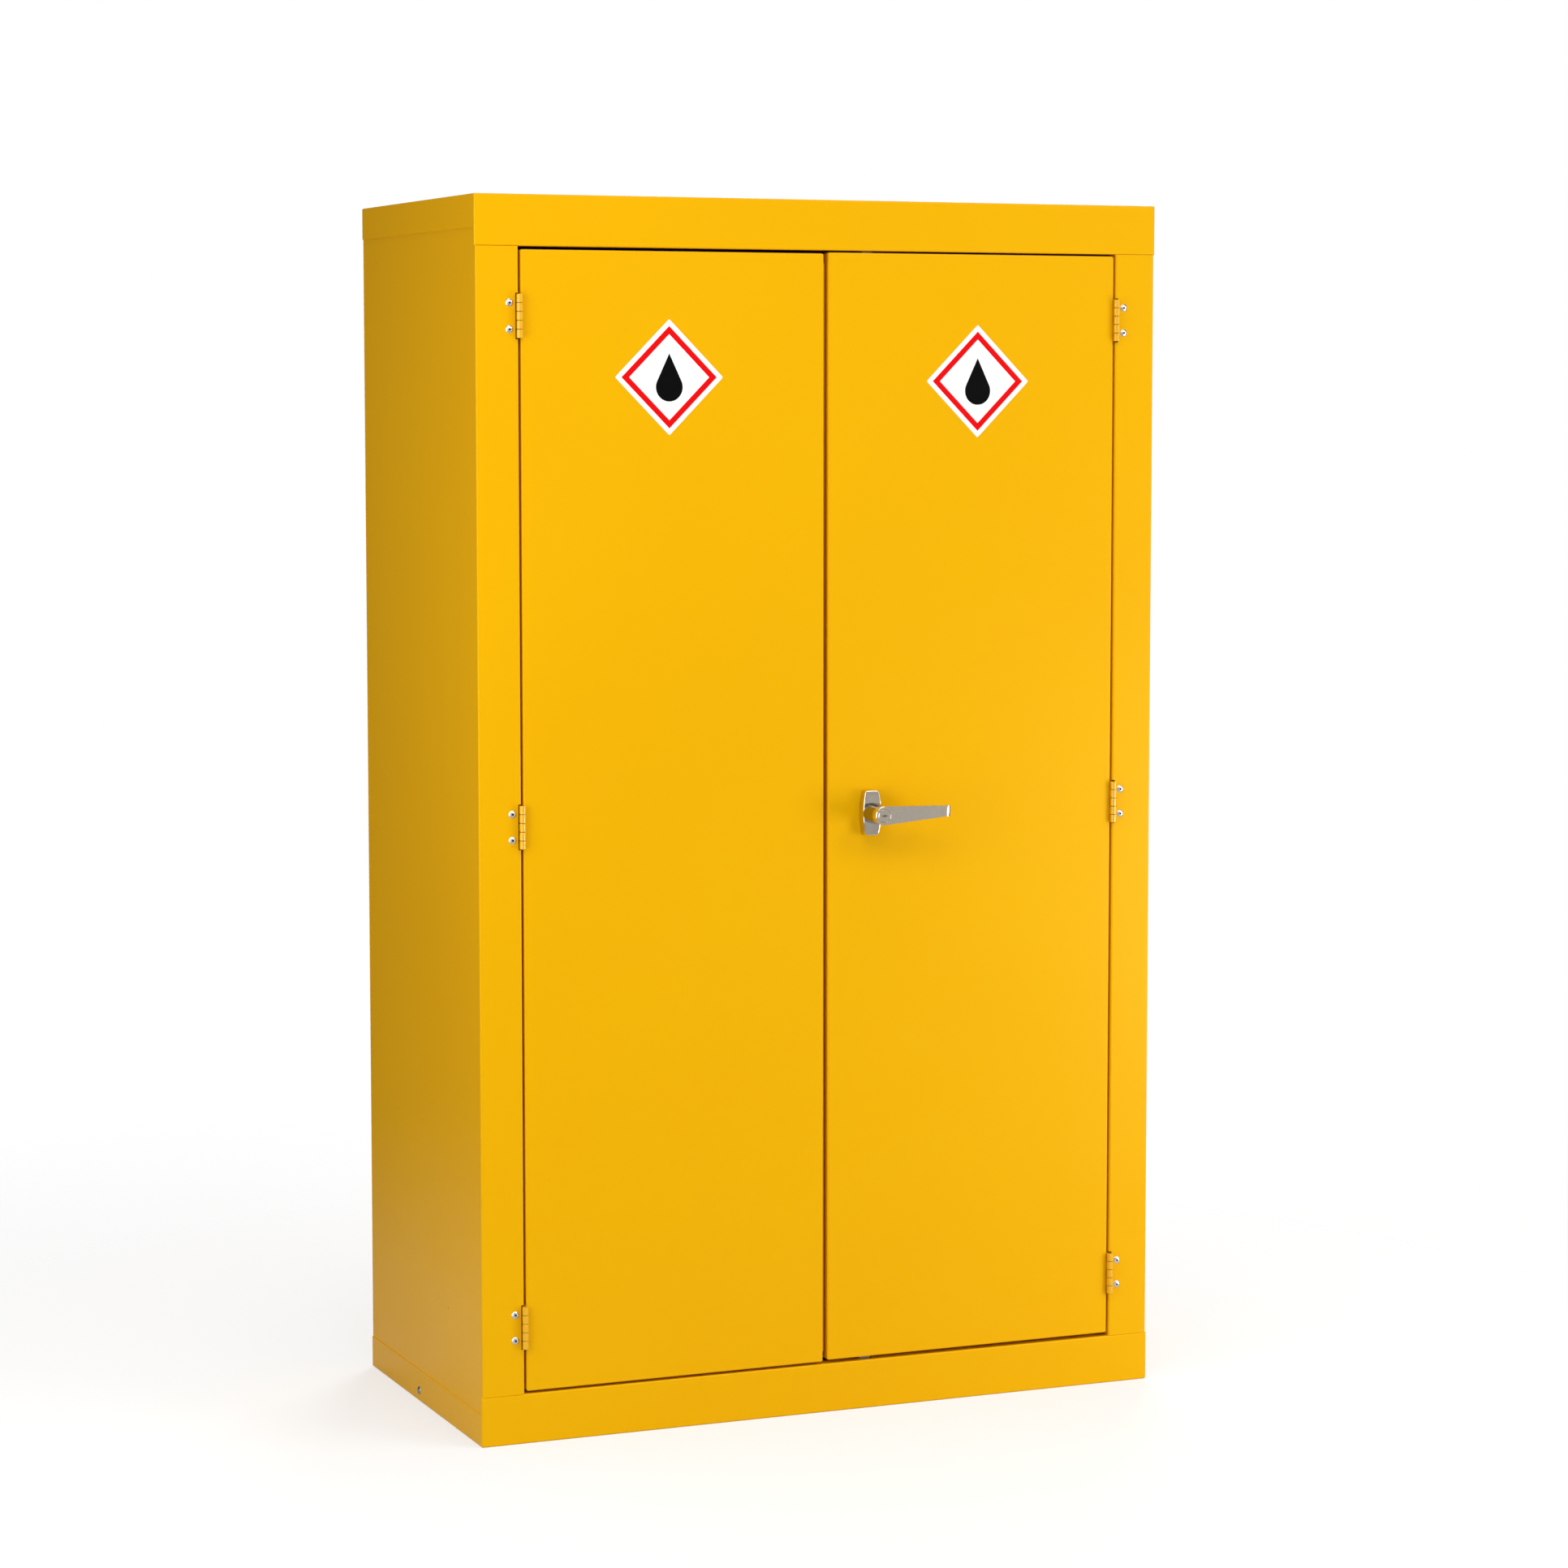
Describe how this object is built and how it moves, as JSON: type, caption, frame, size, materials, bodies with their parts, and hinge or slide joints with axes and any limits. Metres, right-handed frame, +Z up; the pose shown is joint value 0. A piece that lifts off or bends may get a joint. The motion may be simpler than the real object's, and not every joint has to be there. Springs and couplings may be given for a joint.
{
  "type": "flammable storage cabinet",
  "caption": "Tall free-standing sheet-steel safety cabinet with two hinged doors, a lever lock that drives locking bars, spill shelves and a sump.",
  "frame": {"origin": "centre of the carcass's footprint, on the floor", "axes": "+Z up, -Y towards the doors, +X to the right as seen from the front"},
  "size_m": [0.92, 0.509, 1.525],
  "materials": {
    "carcass_paint": "semi-gloss yellow powder coat",
    "door_paint": "semi-gloss yellow powder coat",
    "hinge_paint": "semi-gloss yellow powder coat",
    "shelf_steel": "galvanised sheet, fine spangle",
    "fitting_zinc": "bright zinc plate",
    "pin_steel": "dark oiled steel",
    "lock_steel": "bright zinc plate",
    "rivet_aluminium": "satin, as set",
    "label_vinyl": "printed gloss vinyl",
    "handle_chrome": "satin face, bright edges",
    "plug_chrome": "satin"
  },
  "bodies": {
    "cabinet": {"top_panel": "carcass_paint", "base_panel": "carcass_paint", "back_panel": "carcass_paint", "left_side_panel": "carcass_paint", "right_side_panel": "carcass_paint", "base_side_screws": "lock_steel", "sump_tray": "shelf_steel", "left_front_shelf_strip": "fitting_zinc", "left_rear_shelf_strip": "fitting_zinc", "right_front_shelf_strip": "fitting_zinc", "right_rear_shelf_strip": "fitting_zinc", "lower_shelf": "shelf_steel", "lower_shelf_clips": "fitting_zinc", "middle_shelf": "shelf_steel", "middle_shelf_clips": "fitting_zinc", "upper_shelf": "shelf_steel", "upper_shelf_clips": "fitting_zinc", "left_lower_hinge_frame_leaf": "hinge_paint", "left_lower_hinge_pin": "pin_steel", "left_middle_hinge_frame_leaf": "hinge_paint", "left_middle_hinge_pin": "pin_steel", "left_upper_hinge_frame_leaf": "hinge_paint", "left_upper_hinge_pin": "pin_steel", "left_hinge_rivets": "rivet_aluminium", "right_lower_hinge_frame_leaf": "hinge_paint", "right_lower_hinge_pin": "pin_steel", "right_middle_hinge_frame_leaf": "hinge_paint", "right_middle_hinge_pin": "pin_steel", "right_upper_hinge_frame_leaf": "hinge_paint", "right_upper_hinge_pin": "pin_steel", "right_hinge_rivets": "rivet_aluminium"},
    "left_door": {"left_door_panel": "door_paint", "left_door_stiffener": "door_paint", "left_door_closing_strip": "door_paint", "left_door_label": "label_vinyl", "left_lower_hinge_door_leaf": "hinge_paint", "left_middle_hinge_door_leaf": "hinge_paint", "left_upper_hinge_door_leaf": "hinge_paint"},
    "right_door": {"right_door_panel": "door_paint", "right_door_stiffener": "door_paint", "right_door_label": "label_vinyl", "handle_backplate": "handle_chrome", "handle_fixing_screws": "lock_steel", "rod_guides": "lock_steel", "right_lower_hinge_door_leaf": "hinge_paint", "right_middle_hinge_door_leaf": "hinge_paint", "right_upper_hinge_door_leaf": "hinge_paint"},
    "handle": {"handle_lever": "handle_chrome", "handle_spindle": "lock_steel", "lock_cam_plate": "lock_steel", "cam_pins": "lock_steel", "cam_screw": "lock_steel"},
    "lock_plug": {"lock_plug": "plug_chrome"},
    "upper_rod": {"upper_locking_rod": "lock_steel"},
    "lower_rod": {"lower_locking_rod": "lock_steel"}
  },
  "joints": [
    {"name": "left_door_swing", "type": "hinge", "parent": "cabinet", "child": "left_door", "pos_m": [-0.4018, -0.23335, 0.7625], "axis": [0, 0, -1], "range_deg": [0, 180]},
    {"name": "right_door_swing", "type": "hinge", "parent": "cabinet", "child": "right_door", "pos_m": [0.4018, -0.23335, 0.7625], "axis": [0, 0, 1], "range_deg": [0, 180]},
    {"name": "handle_turn", "type": "hinge", "parent": "right_door", "child": "handle", "pos_m": [0.0585, -0.25, 0.7625], "axis": [0, 1, 0], "range_deg": [0, 90]},
    {"name": "lock_plug_turn", "type": "hinge", "parent": "handle", "child": "lock_plug", "pos_m": [0.0585, -0.27, 0.7625], "axis": [0, 1, 0], "range_deg": [0, 90]},
    {"name": "upper_rod_slide", "type": "slide", "parent": "right_door", "child": "upper_rod", "axis": [0, 0, 1], "range_m": [0, 0.01415]},
    {"name": "lower_rod_slide", "type": "slide", "parent": "right_door", "child": "lower_rod", "axis": [0, 0, -1], "range_m": [0, 0.01415]}
  ],
  "couplings": [
    {"joint": "upper_rod_slide", "follows": "handle_turn", "m_per_rad": 0.009003},
    {"joint": "lower_rod_slide", "follows": "handle_turn", "m_per_rad": 0.009003}
  ]
}
